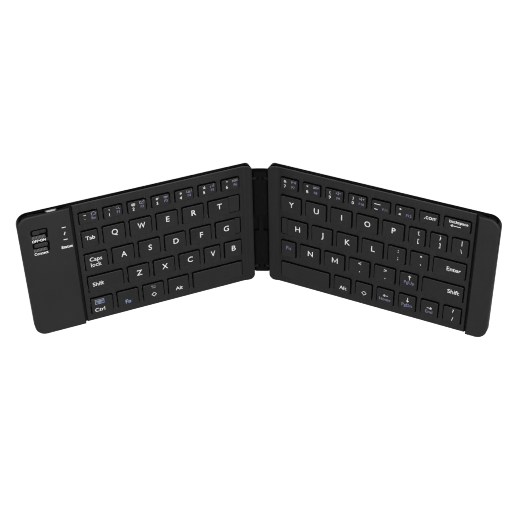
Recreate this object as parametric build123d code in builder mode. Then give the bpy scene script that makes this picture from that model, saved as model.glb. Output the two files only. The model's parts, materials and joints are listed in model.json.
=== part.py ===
from build123d import *
import math
import os

# A folding keyboard in two halves, stood on its front long edges and opened like a book.
# Lengths are in mm. +Z runs up along the hinge, +X across both halves, the keys face -Y.
# Each half is drawn flat in its own frame: x outward from its hinge pin, y up along the
# hinge, and "level" the height above its bottom face. LEFT mirrors x.

# ---- case ----
case_depth = 93.8            # front edge to back edge
half_length = 156.0          # hinge-side wall to outer end
case_wall = 1.2
floor_thickness = 0.9
tray_height = 3.2            # level of the parting line
deck_height = 4.4            # level of the key deck
panel_height = 6.5           # level of the end panels and of the hinge-side rim
inner_back_corner = 3.5
inner_front_corner = 6.0
outer_corner = 7.5
edge_round = 0.8
panel_round = 1.2
rim_width = 7.7              # hinge-side wall to the level part of the deck
rim_crest = 1.0              # hinge-side wall to the top of the rim
left_panel_width = 34.5
right_panel_width = 14.5
groove_width = 1.3           # gap between the key deck and the raised end panel
seat_width = 1.1             # how far the deck and the panel rest on the divider rib
panel_skin = 1.2
ramp_slope = 0.12            # fall of the rim where its curve starts

# ---- fold ----
fold_angle = 24.0            # each half from flat, as it stands
closed_gap = 0.3             # between the two end panels when shut
hinge_level = 3.0            # pin axis above the bottom face
hinge_reach = 2.75           # hinge-side wall to the pin axis
knuckle_radius = 1.9
pin_radius = 0.5
pin_length = 12.0
running_clearance = 0.05     # pin in a lug
press_clearance = 0.01       # pin in the band
lug_width = 1.8
lug_inset = 4.0              # end of the band to the lug in its slot
lug_clearance = 0.2          # band to lug
band_inset = 6.0             # front or back edge to the end of the band
band_skin = 0.3              # closed back of the band behind the lugs
band_bulge = 0.3

# ---- keys ----
key_margin = 1.4             # level deck edge to the first cap
right_key_margin = 3.2       # last cap to the panel, right half
left_key_margin = 3.9
key_gap = 0.3                # cap to the edge of its opening
back_margin = 6.15           # back edge to the first row's opening
front_margin = 5.35          # front edge to the last row's opening
row_bar = 4.35               # deck left between two rows of openings
number_height = 9.1
letter_spacing = 2.85        # between two caps of a row
number_spacing = 3.15
letters_across = 7.36        # letter keys that would fit along the right half
number_units = 0.889         # places of the other keys, in letter keys
arrow_units = 0.861
bracket_units = 0.789
v_units = 0.822
fn_units = 0.778
t_units = 1.424
g_units = 1.179
h_units = 1.257
left_space_units = 2.188
right_space_units = 2.204
t_ledge = 7.5                # length of the low step on a wide hinge-side cap
g_ledge = 3.7
h_ledge = 4.5
ledge_drop = 0.6
key_rise = 1.2               # cap above the deck, which is also its travel
cap_sink = 0.5               # cap below the deck surface
cap_corner = 1.2
cap_bevel = 0.3

# ---- under the keys ----
sheet_margin = 0.3           # sheet edge to the tray wall
plate_thickness = 0.3
membrane_thickness = 0.2
dome_sides = 8
dome_radius = 2.6
dome_top_radius = 1.5

# ---- screws and feet ----
screw_head_radius = 1.25
screw_head_height = 0.5
screw_radius = 0.6
screw_bite = 0.8             # length in the upper piece
boss_radius = 1.7
boss_clearance = 0.3
screw_inset = 9.0            # from both ends of the key field
end_screw_inset = 5.0
end_screw_height = 6.5
foot_radius = 4.0
foot_height = 0.8
foot_recess = 0.4
foot_inset = 13.0

# ---- left end panel: circuit board, battery, socket and controls ----
part_clearance = 0.3
board_thickness = 0.8
board_level = 2.0
board_margin = 1.5
battery_base = 11.0          # front edge to the battery
battery_length = 48.0
battery_gap = 3.0            # battery to the circuit board
battery_thickness = 3.8
battery_round = 1.1
control_length = 10.3
control_height = 4.4
control_slope = 2.8          # sloped lower side of a control's recess
control_depth = 0.8
control_inset = 7.5          # outer end to the recess
control_pitch = 9.7          # from the power switch to the connect button
switch_inset = 14.8          # back edge to the front of the power switch's recess floor
window_rim = 0.6             # recess edge to the window in its floor
knob_length = 4.4
knob_rise = 0.5              # above the recess floor
button_travel = 0.5
control_gap = 0.2
slide_thickness = 0.6        # plate on the power switch that keeps its window shut
slide_lap = 0.5
light_length = 2.6
light_width = 0.6
bolt_length = 2.4            # the middle light, which leans like a flash
bolt_lean = 70.0
light_inset = 6.2            # panel edge to the middle of the lights
light_setback = 17.8         # back edge to the middle light
light_pitch = 4.6
socket_width = 7.5
socket_height = 2.6
socket_depth = 5.4
socket_wall = 0.3
socket_corner = 1.1
socket_setback = 0.3
socket_inset = 22.3          # outer end to the middle of the socket
tongue_width = 4.3
tongue_height = 0.6
tongue_setback = 1.0         # socket mouth to the end of the tongue

# ---- flex cable ----
flex_width = 12.0
flex_thickness = 0.2
flex_reach = 4.5             # inside the hinge-side wall
flex_slot = 0.5

LEFT, RIGHT = -1, 1
SIDE_NAMES = {LEFT: "left", RIGHT: "right"}
fold_sin = math.sin(math.radians(fold_angle))
fold_cos = math.cos(math.radians(fold_angle))
pin_spacing = 2 * (panel_height - hinge_level) + closed_gap
wall_start = hinge_reach
case_end = wall_start + half_length
deck_start = wall_start + rim_width
divider = {LEFT: case_end - left_panel_width, RIGHT: case_end - right_panel_width}
key_field_start = deck_start + key_margin
key_field_end = {LEFT: divider[LEFT] - left_key_margin, RIGHT: divider[RIGHT] - right_key_margin}
letter_pitch = (key_field_end[RIGHT] - key_field_start + letter_spacing) / letters_across
rib_half = groove_width / 2 + seat_width
letter_rows = 4
letter_field = case_depth - back_margin - front_margin - number_height - 2 * key_gap
letter_height = letter_field / letter_rows - row_bar - 2 * key_gap
cap_bottom = deck_height - cap_sink
membrane_level = floor_thickness + plate_thickness
dome_level = membrane_level + membrane_thickness
board_top = board_level + board_thickness
band_length = case_depth - 2 * band_inset
switch_base = case_depth - switch_inset
connect_base = switch_base - control_pitch
light_middle = case_depth - light_setback
light_heights = (light_middle + light_pitch, light_middle, light_middle - light_pitch)

# The origin is below the middle of the standing keyboard. Rounded edges draw both ends in.
round_loss = fold_sin + fold_cos - 1
reach_front = case_end * fold_sin + (panel_height - hinge_level) * fold_cos - panel_round * round_loss
reach_back = hinge_level * fold_cos - wall_start * fold_sin - edge_round * round_loss
pin_y = (reach_front - reach_back) / 2


def half_origin(side, height):
    """The point of a half's bottom plane in line with its pin, at a height along the hinge."""
    x = side * (pin_spacing / 2 + hinge_level * fold_sin)
    return (x, pin_y + hinge_level * fold_cos, height)


def half_plane(side, level=0.0):
    """A plane parallel to the half's bottom face, facing the way the keys face."""
    normal = (-side * fold_sin, -fold_cos, 0)
    across = (fold_cos, -side * fold_sin, 0)
    return Plane(origin=half_origin(side, 0), x_dir=across, z_dir=normal).offset(level)


def section_plane(side, height):
    """A plane across the hinge: x outward and y the level. It faces down."""
    across = (fold_cos, -side * fold_sin, 0)
    return Plane(origin=half_origin(side, height), x_dir=across, z_dir=(0, 0, -1))


def cross_plane(side, x):
    """A plane square to the half's length at x. Its x is the height along the hinge."""
    start = half_plane(side).from_local_coords(Vector(side * x, 0, 0))
    along = Vector(fold_cos, -side * fold_sin, 0)
    return Plane(origin=start, x_dir=(0, 0, 1), z_dir=along)


def half_plan(inset=0.0):
    """Plan of a right half, drawn in by an inset, with its three corner radii."""
    with BuildSketch() as plan:
        with Locations((wall_start + half_length / 2, case_depth / 2)):
            Rectangle(half_length - 2 * inset, case_depth - 2 * inset)
        hinge_end = plan.vertices().group_by(Axis.X)[0].sort_by(Axis.Y)
        fillet(hinge_end[-1], inner_back_corner - inset)
        hinge_end = plan.vertices().group_by(Axis.X)[0].sort_by(Axis.Y)
        fillet(hinge_end[0], inner_front_corner - inset)
        ends = plan.vertices().group_by(Axis.X)
        fillet(ends[-1], outer_corner - inset)
    return plan.sketch


def strip(side, start, end, low=0.0, high=case_depth):
    """A rectangle in the current sketch, between two distances from the pin."""
    with Locations((side * (start + end) / 2, (low + high) / 2)):
        return Rectangle(end - start, high - low, mode=Mode.PRIVATE)


plans = {}
pocket_plans = {}
sheet_plans = {}
for half in (LEFT, RIGHT):
    turn = Plane.YZ if half == LEFT else None
    outer, inner = half_plan(), half_plan(case_wall)
    sheet = half_plan(case_wall + sheet_margin)
    plans[half] = mirror(outer, about=turn) if turn else outer
    pocket_plans[half] = mirror(inner, about=turn) if turn else inner
    sheet_plans[half] = mirror(sheet, about=turn) if turn else sheet


# Rows of caps, each from the hinge side outward. A place of None runs to the key field's end.
def letters(names):
    return [(name, 1.0) for name in names]


def numbers(names):
    return [(name, number_units) for name in names]


def row(spacing, *keys):
    """The spacing of a row and its keys, each a name, a place and the length of its ledge."""
    return spacing, [(key + (0.0,))[:3] for key in keys]


key_rows = {
    LEFT: (
        row(number_spacing, *numbers(["six", "five", "four", "three", "two", "one"]),
            ("escape", None)),
        row(letter_spacing, ("t", t_units, t_ledge), *letters("rewq"), ("tab", None)),
        row(letter_spacing, ("g", g_units, g_ledge), *letters("fdsa"), ("caps", None)),
        row(letter_spacing, ("b", arrow_units), ("v", v_units), *letters("cxz"),
            ("shift_left", None)),
        row(letter_spacing, ("space_left", left_space_units), *letters(["alt", "blank", "fn"]),
            ("ctrl", None)),
    ),
    RIGHT: (
        row(number_spacing, *numbers(["seven", "eight", "nine", "zero", "minus", "equals"]),
            ("delete", number_units), ("backspace", None)),
        row(letter_spacing, *letters("yuiop"), ("open_bracket", bracket_units),
            ("close_bracket", bracket_units), ("backslash", None)),
        row(letter_spacing, ("h", h_units, h_ledge), *letters("jkl"),
            ("semicolon", arrow_units), ("quote", arrow_units), ("enter", None)),
        row(letter_spacing, ("fn_right", fn_units), *letters(["n", "m", "comma", "period"]),
            ("up", arrow_units), ("shift_right", None)),
        row(number_spacing, ("space_right", right_space_units), ("alt_right", arrow_units),
            ("blank_right", arrow_units), ("left", arrow_units), ("down", arrow_units),
            ("right", arrow_units), ("slash", None)),
    ),
}

# Small keys that share a node. Every other key has a node of its own.
key_groups = {
    "number_keys_left": ["escape", "one", "two", "three", "four", "five", "six"],
    "modifier_keys_left": ["tab", "caps", "shift_left", "ctrl"],
    "bottom_keys_left": ["fn", "blank", "alt"],
    "number_keys_right": ["seven", "eight", "nine", "zero", "minus", "equals", "delete"],
    "edit_keys_right": ["backspace", "backslash", "enter", "shift_right"],
    "symbol_keys_right": ["open_bracket", "close_bracket", "semicolon", "quote"]
    + ["comma", "period", "slash"],
    "bottom_keys_right": ["fn_right", "alt_right", "blank_right", "up", "left", "down", "right"],
}


def row_places():
    """The middle height and the height of each row's caps, from the back row to the front."""
    places = []
    top = case_depth - back_margin
    for height in [number_height] + [letter_height] * letter_rows:
        opening = height + 2 * key_gap
        places.append((top - opening / 2, height))
        top -= opening + row_bar
    return places


rows = row_places()


def lay_out(side):
    """Each cap of a half: name, inner end, outer end, middle height, height and ledge."""
    caps = []
    for (spacing, keys), (middle, height) in zip(key_rows[side], rows):
        start = key_field_start
        for name, units, ledge in keys:
            end = start + units * letter_pitch - spacing if units else key_field_end[side]
            caps.append((name, start, end, middle, height, ledge))
            start = end + spacing
    return caps


caps = {side: lay_out(side) for side in (LEFT, RIGHT)}


def bar_height(place):
    """Middle of the deck bar below a row, counted from the back."""
    middle, height = rows[place]
    return middle - height / 2 - key_gap - row_bar / 2


def key_screws(side):
    ends = (deck_start + screw_inset, key_field_end[side] - screw_inset)
    return [(side * x, bar_height(place)) for place in (0, letter_rows - 1) for x in ends]


def panel_screws(side):
    x = side * (case_end - end_screw_inset)
    return [(x, end_screw_height), (x, case_depth - end_screw_height)]


def foot_places(side):
    ends = (wall_start + foot_inset, case_end - foot_inset)
    return [(side * x, y) for x in ends for y in (foot_inset, case_depth - foot_inset)]


def level_axis(side):
    """Sorts along the way the keys face."""
    return Axis((0, 0, 0), (-side * fold_sin, -fold_cos, 0))


# ---- trays ----
lug_heights = (case_depth - band_inset - lug_inset, band_inset + lug_inset + lug_width)


def board_span():
    """The circuit board's near and far ends, and its low and high edges."""
    start = divider[LEFT] + rib_half + board_margin
    end = case_end - case_wall - board_margin
    low = battery_base + battery_length + battery_gap
    high = case_depth - case_wall - part_clearance
    return start, end, low, high


def board_posts():
    start, end, low, high = board_span()
    x_values = (start + boss_radius, end - boss_radius)
    return [(-x, low + boss_radius) for x in x_values] + [(-x_values[0], high - boss_radius)]


def socket_middle():
    return LEFT * (case_end - socket_inset)


def socket_cut(piece_low, piece_high):
    """Sketch rectangle for the socket's way through the back wall, between two levels."""
    with BuildSketch(section_plane(LEFT, case_depth)) as cut:
        with Locations((socket_middle(), (piece_low + piece_high) / 2)):
            Rectangle(socket_width + 2 * part_clearance, piece_high - piece_low)
    return cut.sketch


def bottom_cover(side):
    """Shallow tray with screw bosses, a divider rib and two hinge lugs."""
    axis = level_axis(side)
    with BuildPart() as cover:
        with BuildSketch(half_plane(side)):
            add(plans[side])
        extrude(amount=tray_height)
        fillet(cover.faces().sort_by(axis)[0].edges(), edge_round)
        with BuildSketch(half_plane(side, floor_thickness)):
            add(pocket_plans[side])
            add(strip(side, divider[side] - rib_half, divider[side] + rib_half), mode=Mode.SUBTRACT)
        extrude(amount=tray_height - floor_thickness, mode=Mode.SUBTRACT)
        with BuildSketch(half_plane(side, floor_thickness)):
            with Locations(*key_screws(side), *panel_screws(side)):
                Circle(boss_radius)
        extrude(amount=tray_height - floor_thickness)
        if side == LEFT:
            with BuildSketch(half_plane(side, floor_thickness)):
                with Locations(*board_posts()):
                    Circle(boss_radius)
            extrude(amount=board_level - floor_thickness)
        with BuildSketch(half_plane(side)):
            with Locations(*key_screws(side), *panel_screws(side)):
                Circle(screw_head_radius)
        extrude(amount=screw_head_height, mode=Mode.SUBTRACT)
        with BuildSketch(half_plane(side)):
            with Locations(*key_screws(side), *panel_screws(side)):
                Circle(screw_radius)
        extrude(amount=tray_height, mode=Mode.SUBTRACT)
        with BuildSketch(half_plane(side)):
            with Locations(*foot_places(side)):
                Circle(foot_radius)
        extrude(amount=foot_recess, mode=Mode.SUBTRACT)
        for top in lug_heights:
            with BuildSketch(section_plane(side, top)):
                with Locations((0, hinge_level)):
                    Circle(knuckle_radius)
                with Locations((side * hinge_reach / 2, hinge_level)):
                    Rectangle(hinge_reach, 2 * knuckle_radius)
                with Locations((0, hinge_level)):
                    Circle(pin_radius + running_clearance, mode=Mode.SUBTRACT)
            extrude(amount=lug_width)
        # way for the flex cable over the hinge-side wall
        with BuildSketch(half_plane(side, hinge_level - flex_slot / 2)):
            slot_end = wall_start + case_wall
            middle = case_depth / 2
            spread = flex_width / 2 + part_clearance
            add(strip(side, wall_start, slot_end, middle - spread, middle + spread))
        extrude(amount=tray_height, mode=Mode.SUBTRACT)
        if side == LEFT:
            socket_floor = board_top - part_clearance
            add(extrude(socket_cut(socket_floor, tray_height), amount=case_wall), mode=Mode.SUBTRACT)
    return cover.part


# ---- key deck ----
def key_frame(side):
    """Deck with one opening per cap, rising to a rim along the hinge."""
    outer = side * (divider[side] - groove_width / 2)
    inner = side * wall_start
    crest = side * (wall_start + rim_crest)
    with BuildPart() as frame:
        with BuildSketch(section_plane(side, case_depth)):
            with BuildLine():
                under = Line((outer, tray_height), (inner, tray_height))
                wall = Line(under @ 1, (inner, panel_height - rim_crest))
                nose = RadiusArc(wall @ 1, (crest, panel_height), side * rim_crest)
                ramp = Spline(
                    nose @ 1, (side * deck_start, deck_height),
                    tangents=[(side, -ramp_slope), (side, 0)],
                )
                deck = Line(ramp @ 1, (outer, deck_height))
                Line(deck @ 1, under @ 0)
            make_face()
        extrude(amount=case_depth)
        with BuildSketch(half_plane(side, tray_height)):
            add(plans[side])
        extrude(amount=panel_height - tray_height, mode=Mode.INTERSECT)
        with BuildSketch(half_plane(side, tray_height)):
            for _, start, end, middle, height, _ in caps[side]:
                with Locations((side * (start + end) / 2, middle)):
                    RectangleRounded(end - start + 2 * key_gap, height + 2 * key_gap, cap_corner + key_gap)
        extrude(amount=deck_height - tray_height, mode=Mode.SUBTRACT)
        with BuildSketch(half_plane(side, tray_height)):
            with Locations(*key_screws(side)):
                Circle(screw_radius)
        extrude(amount=screw_bite, mode=Mode.SUBTRACT)
        long_edges = frame.edges().filter_by(GeomType.LINE).filter_by(
            lambda edge: edge.length > half_length / 2
            and abs(half_plane(side).to_local_coords(edge.center()).Z - deck_height) < 0.01
        )
        chamfer(long_edges, edge_round / 2)
    return frame.part


# ---- end panels ----
def control_recess(base):
    """Finger recess: a level floor with a slope below it."""
    top = base + control_height
    floor_level = panel_height - control_depth
    with BuildSketch(cross_plane(LEFT, case_end - control_inset)) as side_view:
        with BuildLine():
            Polyline(
                (top, panel_height), (top, floor_level), (base, floor_level),
                (base - control_slope, panel_height), close=True,
            )
        make_face()
    return extrude(side_view.sketch, amount=control_length)


def control_window(base):
    """The opening in a recess floor: near and far ends, low and high edges."""
    far = case_end - control_inset - window_rim
    near = case_end - control_inset - control_length + window_rim
    return near, far, base + window_rim / 2, base + control_height - window_rim


def light_places():
    x = -(divider[LEFT] + light_inset)
    return [(x, y) for y in light_heights]


def end_cover(side):
    """Raised cover of the end bay, hollow below. The left one has the controls."""
    axis = level_axis(side)
    start = divider[side] + groove_width / 2
    with BuildPart() as cover:
        with BuildSketch(half_plane(side, tray_height)):
            add(plans[side])
            add(strip(side, start, case_end), mode=Mode.INTERSECT)
        extrude(amount=panel_height - tray_height)
        fillet(cover.faces().sort_by(axis)[-1].edges(), panel_round)
        with BuildSketch(half_plane(side, tray_height)):
            add(pocket_plans[side])
            add(strip(side, start + seat_width, case_end), mode=Mode.INTERSECT)
            with Locations(*panel_screws(side)):
                Circle(boss_radius, mode=Mode.SUBTRACT)
        extrude(amount=panel_height - panel_skin - tray_height, mode=Mode.SUBTRACT)
        with BuildSketch(half_plane(side, tray_height)):
            with Locations(*panel_screws(side)):
                Circle(screw_radius)
        extrude(amount=screw_bite, mode=Mode.SUBTRACT)
        if side == LEFT:
            for base in (switch_base, connect_base):
                add(control_recess(base), mode=Mode.SUBTRACT)
                with BuildSketch(half_plane(side, tray_height)):
                    add(strip(side, *control_window(base)))
                extrude(amount=panel_height - tray_height, mode=Mode.SUBTRACT)
            with BuildSketch(half_plane(side, tray_height)):
                add(light_sketch())
            extrude(amount=panel_height - tray_height, mode=Mode.SUBTRACT)
            socket_top = board_top + socket_height + part_clearance
            socket_end = socket_setback + socket_depth + part_clearance
            add(extrude(socket_cut(tray_height, socket_top), amount=socket_end), mode=Mode.SUBTRACT)
    return cover.part


# ---- sheets under the keys ----
def key_bay(side, radius):
    """Plan of a sheet that lies under the keys, with holes for the bosses."""
    with BuildSketch() as bay:
        add(sheet_plans[side])
        add(strip(side, wall_start, divider[side] - rib_half - sheet_margin), mode=Mode.INTERSECT)
        with Locations(*key_screws(side)):
            Circle(radius, mode=Mode.SUBTRACT)
    return bay.sketch


def support_plate(side):
    with BuildPart() as plate:
        with BuildSketch(half_plane(side, floor_thickness)):
            add(key_bay(side, boss_radius + boss_clearance))
        extrude(amount=plate_thickness)
    return plate.part


def membrane(side):
    with BuildPart() as sheet:
        with BuildSketch(half_plane(side, membrane_level)):
            add(key_bay(side, boss_radius + 2 * boss_clearance))
        extrude(amount=membrane_thickness)
    return sheet.part


def dome_sheet(side):
    """One rubber dome under the middle of each cap."""
    middles = [(side * (start + end) / 2, middle) for _, start, end, middle, _, _ in caps[side]]
    height = cap_bottom - dome_level
    with BuildPart() as dome:
        with BuildSketch():
            RegularPolygon(dome_radius, dome_sides)
        with BuildSketch(Plane.XY.offset(height)):
            RegularPolygon(dome_top_radius, dome_sides)
        loft()
    with BuildPart(half_plane(side, dome_level)) as domes:
        with Locations(*middles):
            add(dome.part)
    return domes.part


# ---- keys ----
def cap_solid(side, cap):
    """A low cap with round corners and a bevelled top. A ledge steps down by the hinge."""
    _, start, end, middle, height, ledge = cap
    with BuildPart() as key:
        with BuildSketch(half_plane(side, cap_bottom)):
            with Locations((side * (start + end) / 2, middle)):
                RectangleRounded(end - start, height, cap_corner)
        extrude(amount=cap_sink + key_rise)
        if ledge:
            with BuildSketch(half_plane(side, deck_height + key_rise - ledge_drop)):
                low, high = middle - height / 2, middle + height / 2
                add(strip(side, start, start + ledge, low, high))
            extrude(amount=ledge_drop, mode=Mode.SUBTRACT)
        chamfer(key.faces().sort_by(level_axis(side))[-1].edges(), cap_bevel)
    return key.part


# ---- screws and feet ----
def screws(side):
    with BuildPart() as pieces:
        with BuildSketch(half_plane(side)):
            with Locations(*key_screws(side), *panel_screws(side)):
                Circle(screw_head_radius)
        extrude(amount=screw_head_height)
        with BuildSketch(half_plane(side)):
            with Locations(*key_screws(side), *panel_screws(side)):
                Circle(screw_radius)
        extrude(amount=tray_height + screw_bite)
    return pieces.part


def rubber_feet(side):
    with BuildPart() as feet:
        with BuildSketch(half_plane(side, foot_recess)):
            with Locations(*foot_places(side)):
                Circle(foot_radius)
        extrude(amount=-(foot_recess + foot_height))
    return feet.part


# ---- electronics in the left end bay ----
def circuit_board():
    start, end, low, high = board_span()
    with BuildPart() as board:
        with BuildSketch(half_plane(LEFT, board_level)):
            add(strip(LEFT, start, end, low, high))
            add(sheet_plans[LEFT], mode=Mode.INTERSECT)
            with Locations(panel_screws(LEFT)[1]):
                Circle(boss_radius + boss_clearance, mode=Mode.SUBTRACT)
        extrude(amount=board_thickness)
    return board.part


def battery():
    start, end, _, _ = board_span()
    with BuildPart() as cell:
        with BuildSketch(half_plane(LEFT, floor_thickness)):
            add(strip(LEFT, start, end, battery_base, battery_base + battery_length))
        extrude(amount=battery_thickness)
        fillet(cell.edges().filter_by(Axis.Z), battery_round)
    return cell.part


def usb_socket():
    """Metal shell with a lower corner cut on each side, and the contact tongue inside."""
    middle = board_top + socket_height / 2
    with BuildPart() as socket:
        with BuildSketch(section_plane(LEFT, case_depth - socket_setback)):
            with Locations((socket_middle(), middle)):
                shell = Rectangle(socket_width, socket_height)
            chamfer(shell.vertices().group_by(Axis.Y)[-1], socket_corner)
        extrude(amount=socket_depth)
        mouth = socket.faces().sort_by(Axis.Z)[-1]
        offset(amount=-socket_wall, openings=mouth)
        with BuildSketch(section_plane(LEFT, case_depth - socket_setback - tongue_setback)):
            with Locations((socket_middle(), middle)):
                Rectangle(tongue_width, tongue_height)
        extrude(amount=socket_depth - tongue_setback)
    return socket.part


def power_switch():
    """Slider knob on a plate wider than its window, over a stem down to the board."""
    near, far, low, high = control_window(switch_base)
    outer = far - control_gap
    travel = far - near - 2 * control_gap - knob_length
    ends = (near - slide_lap, far + travel + slide_lap)
    with BuildPart() as knob:
        with BuildSketch(half_plane(LEFT, board_top)):
            add(strip(LEFT, outer - knob_length, outer, low + control_gap, high - control_gap))
        extrude(amount=panel_height - control_depth + knob_rise - board_top)
        chamfer(knob.faces().sort_by(level_axis(LEFT))[-1].edges(), control_gap)
        with BuildSketch(half_plane(LEFT, panel_height - panel_skin - control_gap)):
            add(strip(LEFT, *ends, low - slide_lap, high + slide_lap))
        extrude(amount=-slide_thickness)
    return knob.part


def connect_button():
    near, far, low, high = control_window(connect_base)
    ends = (near + control_gap, far - control_gap)
    with BuildPart() as button:
        with BuildSketch(half_plane(LEFT, board_top + button_travel)):
            add(strip(LEFT, *ends, low + control_gap, high - control_gap))
        extrude(amount=panel_height - control_depth + knob_rise - board_top - button_travel)
        chamfer(button.faces().sort_by(level_axis(LEFT))[-1].edges(), control_gap)
    return button.part


def light_sketch():
    """Three status lights in a column, the middle one leaning."""
    with BuildSketch() as lights:
        for place, (x, y) in enumerate(light_places()):
            flash = place == 1
            with Locations(Location((x, y), bolt_lean if flash else 0)):
                Rectangle(bolt_length if flash else light_length, light_width)
    return lights.sketch


def light_guides():
    with BuildPart() as guides:
        with BuildSketch(half_plane(LEFT, board_top)):
            add(light_sketch())
        extrude(amount=panel_height - board_top)
    return guides.part


# ---- hinge band, pins and flex cable ----
pin_places = [(-pin_spacing / 2, pin_y), (pin_spacing / 2, pin_y)]


def band_section():
    """Section of the band: flat in front, round at the pins in front, closed and bowed behind."""
    reach = pin_spacing / 2 + knuckle_radius
    front = pin_y - knuckle_radius
    back = pin_y + knuckle_radius + lug_clearance + band_skin
    with BuildSketch() as section:
        with BuildLine():
            side = Line((reach, pin_y), (reach, back))
            bow = ThreePointArc(side @ 1, (0, back + band_bulge), (-reach, back))
            other = Line(bow @ 1, (-reach, pin_y))
            near_end = RadiusArc(other @ 1, (-pin_spacing / 2, front), -knuckle_radius)
            face = Line(near_end @ 1, (pin_spacing / 2, front))
            RadiusArc(face @ 1, side @ 0, -knuckle_radius)
        make_face()
        with Locations(*pin_places):
            Circle(pin_radius + press_clearance, mode=Mode.SUBTRACT)
    return section.sketch


band_low = case_depth / 2 - band_length / 2


def knuckle_gap(base, height):
    """Room that the band leaves round both pins, from a height along the hinge."""
    with BuildSketch(Plane.XY.offset(base)) as gap:
        with Locations(*pin_places):
            Rectangle(2 * (knuckle_radius + lug_clearance), 2 * (knuckle_radius + lug_clearance))
    return extrude(gap.sketch, amount=height)


def hinge_band():
    """Stiff strip with a knuckle along each edge, slotted in front for the lugs and the cable."""
    flex_height = flex_width + 2 * part_clearance
    flex_base = case_depth / 2 - flex_height / 2
    with BuildPart() as band:
        with BuildSketch(Plane.XY.offset(band_low)):
            add(band_section())
        extrude(amount=band_length)
        for top in lug_heights:
            slot_base = top - lug_width - lug_clearance
            add(knuckle_gap(slot_base, lug_width + 2 * lug_clearance), mode=Mode.SUBTRACT)
        add(knuckle_gap(flex_base, flex_height), mode=Mode.SUBTRACT)
        with BuildSketch(Plane.XY.offset(flex_base)):
            with Locations((0, pin_y)):
                Rectangle(pin_spacing, flex_slot)
        extrude(amount=flex_height, mode=Mode.SUBTRACT)
    return band.part


def hinge_pins():
    """Four short steel pins, two on each fold line, fixed in the band."""
    with BuildPart() as pins:
        for low in (band_low, band_low + band_length - pin_length):
            with BuildSketch(Plane.XY.offset(low)):
                with Locations(*pin_places):
                    Circle(pin_radius)
            extrude(amount=pin_length)
    return pins.part


def flex_cable():
    """Flat cable through both walls and the band, bent at each fold line."""
    bends = []
    for side in (LEFT, RIGHT):
        inside = section_plane(side, 0).from_local_coords(
            Vector(side * (wall_start + case_wall + flex_reach), hinge_level, 0))
        bends.append((inside.X, inside.Y))
    with BuildPart() as cable:
        with BuildSketch(Plane.XY.offset(case_depth / 2 - flex_width / 2)):
            with BuildLine():
                Polyline(bends[0], *pin_places, bends[1])
            trace(line_width=flex_thickness)
        extrude(amount=flex_width)
    return cable.part


# ---- write the pieces ----
def save(piece, name):
    piece.label = name
    export_step(piece, f"parts/{name}.step")


os.makedirs("parts", exist_ok=True)
for half in (LEFT, RIGHT):
    tag = SIDE_NAMES[half]
    save(bottom_cover(half), f"bottom_cover_{tag}")
    save(key_frame(half), f"key_frame_{tag}")
    save(end_cover(half), f"end_cover_{tag}")
    save(support_plate(half), f"support_plate_{tag}")
    save(membrane(half), f"membrane_{tag}")
    save(dome_sheet(half), f"dome_sheet_{tag}")
    save(screws(half), f"screws_{tag}")
    save(rubber_feet(half), f"rubber_feet_{tag}")
    pieces = {cap[0]: cap_solid(half, cap) for cap in caps[half]}
    for group, names in key_groups.items():
        members = [pieces.pop(name) for name in names if name in pieces]
        if members:
            save(Compound(children=members), group)
    for name, piece in pieces.items():
        save(piece, f"key_{name}")

save(circuit_board(), "circuit_board")
save(battery(), "battery")
save(usb_socket(), "usb_socket")
save(power_switch(), "power_switch")
save(connect_button(), "connect_button")
save(light_guides(), "light_guides")
save(hinge_band(), "hinge_band")
save(hinge_pins(), "hinge_pins")
save(flex_cable(), "flex_cable")
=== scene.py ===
import json
import math

import bmesh
import bpy
from mathutils import Matrix, Vector


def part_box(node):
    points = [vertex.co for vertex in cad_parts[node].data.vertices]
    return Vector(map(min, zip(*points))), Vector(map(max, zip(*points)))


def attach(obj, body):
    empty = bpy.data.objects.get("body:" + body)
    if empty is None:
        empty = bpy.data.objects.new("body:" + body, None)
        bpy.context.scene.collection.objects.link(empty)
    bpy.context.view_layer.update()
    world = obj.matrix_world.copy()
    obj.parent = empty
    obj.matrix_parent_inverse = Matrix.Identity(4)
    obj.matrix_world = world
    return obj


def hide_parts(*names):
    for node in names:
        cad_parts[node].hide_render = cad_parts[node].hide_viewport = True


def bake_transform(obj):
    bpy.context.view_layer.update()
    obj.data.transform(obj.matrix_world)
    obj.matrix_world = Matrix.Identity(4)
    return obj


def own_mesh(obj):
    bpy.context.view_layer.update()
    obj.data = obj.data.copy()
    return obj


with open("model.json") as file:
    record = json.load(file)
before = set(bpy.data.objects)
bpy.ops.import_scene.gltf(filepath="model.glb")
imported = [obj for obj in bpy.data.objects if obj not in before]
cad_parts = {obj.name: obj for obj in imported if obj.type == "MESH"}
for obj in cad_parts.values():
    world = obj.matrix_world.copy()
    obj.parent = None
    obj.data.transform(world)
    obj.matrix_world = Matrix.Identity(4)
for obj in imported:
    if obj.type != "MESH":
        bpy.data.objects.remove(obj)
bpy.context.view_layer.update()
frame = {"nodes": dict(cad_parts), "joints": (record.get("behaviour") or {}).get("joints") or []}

# The standing keyboard, half open. Each half has its own flat frame: u to the right as the keys
# are read, z up along the hinge, level the height above its base. Meshes are in metres; sizes
# are named in millimetres and take the factor MM where they are used.
LEFT, RIGHT = -1, 1
MM = 0.001
TAIL = {LEFT: "left", RIGHT: "right"}
BODY = {LEFT: "left_half", RIGHT: "right_half"}
FOLD = math.radians(24.0)
PIN_LEVEL = 3.0
PIN = {side: Vector(joint["pos_m"]) for side, tail in TAIL.items()
       for joint in frame["joints"] if joint["name"] == "fold_" + tail}
CASE_END = 158.75            # from the hinge pin to the outer end
CASE_TOP = 93.8              # back edge
PANEL = 6.5                  # level of the end panels
PANEL_WIDTH = {LEFT: 34.5, RIGHT: 14.5}

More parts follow.
